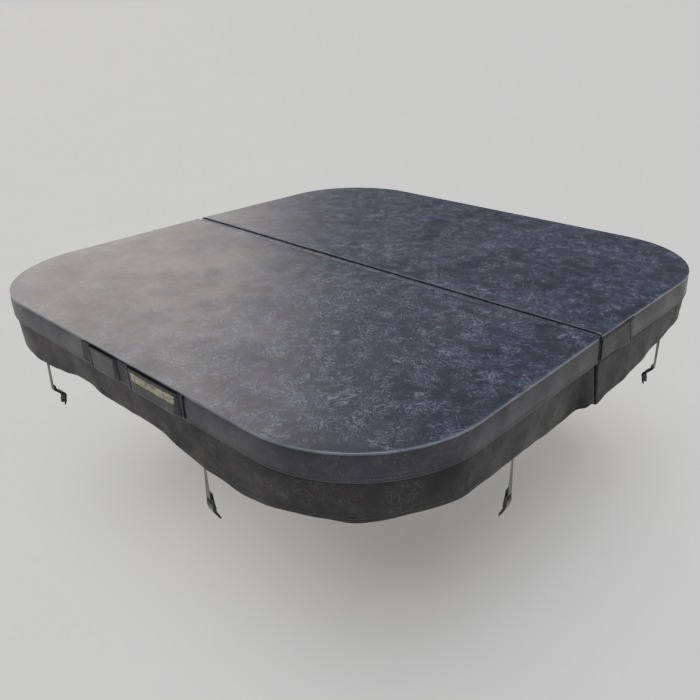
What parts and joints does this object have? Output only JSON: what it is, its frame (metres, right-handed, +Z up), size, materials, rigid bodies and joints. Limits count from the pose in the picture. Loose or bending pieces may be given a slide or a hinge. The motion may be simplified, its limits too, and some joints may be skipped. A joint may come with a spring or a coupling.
{
  "type": "spa cover",
  "caption": "Rounded-square folding spa cover: two foam halves in vinyl jackets, hinged on the fold, with hanging skirt, grip handles and clip straps.",
  "frame": {"origin": "middle of the fold line, on the flat underside that rests on the spa's rim", "axes": "+X along the fold to the right, -Y towards the front half with the double grip handle, +Z up; the skirt and straps hang below the origin's plane"},
  "size_m": [2.0266, 2.0145, 0.4256],
  "materials": {
    "top_vinyl": "satin",
    "side_vinyl": "satin",
    "liner": "matt",
    "foam": "matt",
    "film": "glossy",
    "steel": "galvanised",
    "webbing": "matt",
    "plastic": "satin",
    "patch": "matt"
  },
  "bodies": {
    "back_half": {"back_foam_core": "foam", "back_vapour_wrap": "film", "back_stiffener_channel": "steel", "back_top_panel": "top_vinyl", "back_side_band": "side_vinyl", "back_bottom_liner": "liner", "back_fold_panel": "side_vinyl", "back_zip_tape": "webbing", "back_skirt": "side_vinyl", "hinge_strip": "top_vinyl", "fold_piping": "top_vinyl", "fold_seal": "liner", "back_left_handle": "side_vinyl", "back_right_handle": "side_vinyl"},
    "front_half": {"front_foam_core": "foam", "front_vapour_wrap": "film", "front_stiffener_channel": "steel", "front_top_panel": "top_vinyl", "front_side_band": "side_vinyl", "front_bottom_liner": "liner", "front_fold_panel": "side_vinyl", "front_zip_tape": "webbing", "front_skirt": "side_vinyl", "front_handle": "side_vinyl", "front_handle_patch": "patch"},
    "back_zip_slider": {"back_zip_slider": "steel"},
    "front_zip_slider": {"front_zip_slider": "steel"},
    "strap_front_left": {"strap_front_left": "webbing"},
    "clip_front_left": {"clip_front_left": "plastic"},
    "strap_back_left": {"strap_back_left": "webbing"},
    "clip_back_left": {"clip_back_left": "plastic"},
    "strap_front_right": {"strap_front_right": "webbing"},
    "clip_front_right": {"clip_front_right": "plastic"},
    "strap_back_right": {"strap_back_right": "webbing"},
    "clip_back_right": {"clip_back_right": "plastic"},
    "strap_right_front": {"strap_right_front": "webbing"},
    "clip_right_front": {"clip_right_front": "plastic"},
    "strap_left_front": {"strap_left_front": "webbing"},
    "clip_left_front": {"clip_left_front": "plastic"},
    "strap_right_back": {"strap_right_back": "webbing"},
    "clip_right_back": {"clip_right_back": "plastic"},
    "strap_left_back": {"strap_left_back": "webbing"},
    "clip_left_back": {"clip_left_back": "plastic"}
  },
  "joints": [
    {"name": "fold", "type": "hinge", "parent": "back_half", "child": "front_half", "pos_m": [0, 0, 0.092], "axis": [-1, 0, 0], "range_deg": [0, 180], "deforming": ["hinge_strip"]},
    {"name": "back_zip", "type": "slide", "parent": "back_half", "child": "back_zip_slider", "axis": [-1, 0, 0], "range_m": [0, 1.85]},
    {"name": "front_zip", "type": "slide", "parent": "front_half", "child": "front_zip_slider", "axis": [-1, 0, 0], "range_m": [0, 1.85]},
    {"name": "strap_front_left", "type": "hinge", "parent": "front_half", "child": "strap_front_left", "pos_m": [-0.56, -0.972, -0.002], "axis": [1, 0, 0], "range_deg": [0, 70]},
    {"name": "clip_front_left", "type": "hinge", "parent": "strap_front_left", "child": "clip_front_left", "pos_m": [-0.56, -0.9669, -0.243], "axis": [1, 0, 0], "range_deg": [-60, 30]},
    {"name": "strap_back_left", "type": "hinge", "parent": "back_half", "child": "strap_back_left", "pos_m": [-0.56, 0.972, -0.002], "axis": [-1, 0, 0], "range_deg": [0, 70]},
    {"name": "clip_back_left", "type": "hinge", "parent": "strap_back_left", "child": "clip_back_left", "pos_m": [-0.56, 0.9669, -0.243], "axis": [-1, 0, 0], "range_deg": [-60, 30]},
    {"name": "strap_front_right", "type": "hinge", "parent": "front_half", "child": "strap_front_right", "pos_m": [0.351, -0.972, -0.002], "axis": [1, 0, 0], "range_deg": [0, 70]},
    {"name": "clip_front_right", "type": "hinge", "parent": "strap_front_right", "child": "clip_front_right", "pos_m": [0.351, -0.9669, -0.254], "axis": [1, 0, 0], "range_deg": [-60, 30]},
    {"name": "strap_back_right", "type": "hinge", "parent": "back_half", "child": "strap_back_right", "pos_m": [0.351, 0.972, -0.002], "axis": [-1, 0, 0], "range_deg": [0, 70]},
    {"name": "clip_back_right", "type": "hinge", "parent": "strap_back_right", "child": "clip_back_right", "pos_m": [0.351, 0.9669, -0.243], "axis": [-1, 0, 0], "range_deg": [-60, 30]},
    {"name": "strap_right_front", "type": "hinge", "parent": "front_half", "child": "strap_right_front", "pos_m": [0.972, -0.415, -0.002], "axis": [0, 1, 0], "range_deg": [0, 70]},
    {"name": "clip_right_front", "type": "hinge", "parent": "strap_right_front", "child": "clip_right_front", "pos_m": [0.9669, -0.415, -0.254], "axis": [0, 1, 0], "range_deg": [-60, 30]},
    {"name": "strap_left_front", "type": "hinge", "parent": "front_half", "child": "strap_left_front", "pos_m": [-0.972, -0.415, -0.002], "axis": [0, -1, 0], "range_deg": [0, 70]},
    {"name": "clip_left_front", "type": "hinge", "parent": "strap_left_front", "child": "clip_left_front", "pos_m": [-0.9669, -0.415, -0.243], "axis": [0, -1, 0], "range_deg": [-60, 30]},
    {"name": "strap_right_back", "type": "hinge", "parent": "back_half", "child": "strap_right_back", "pos_m": [0.972, 0.541, -0.002], "axis": [0, 1, 0], "range_deg": [0, 70]},
    {"name": "clip_right_back", "type": "hinge", "parent": "strap_right_back", "child": "clip_right_back", "pos_m": [0.9669, 0.541, -0.243], "axis": [0, 1, 0], "range_deg": [-60, 30]},
    {"name": "strap_left_back", "type": "hinge", "parent": "back_half", "child": "strap_left_back", "pos_m": [-0.972, 0.541, -0.002], "axis": [0, -1, 0], "range_deg": [0, 70]},
    {"name": "clip_left_back", "type": "hinge", "parent": "strap_left_back", "child": "clip_left_back", "pos_m": [-0.9669, 0.541, -0.243], "axis": [0, -1, 0], "range_deg": [-60, 30]}
  ]
}
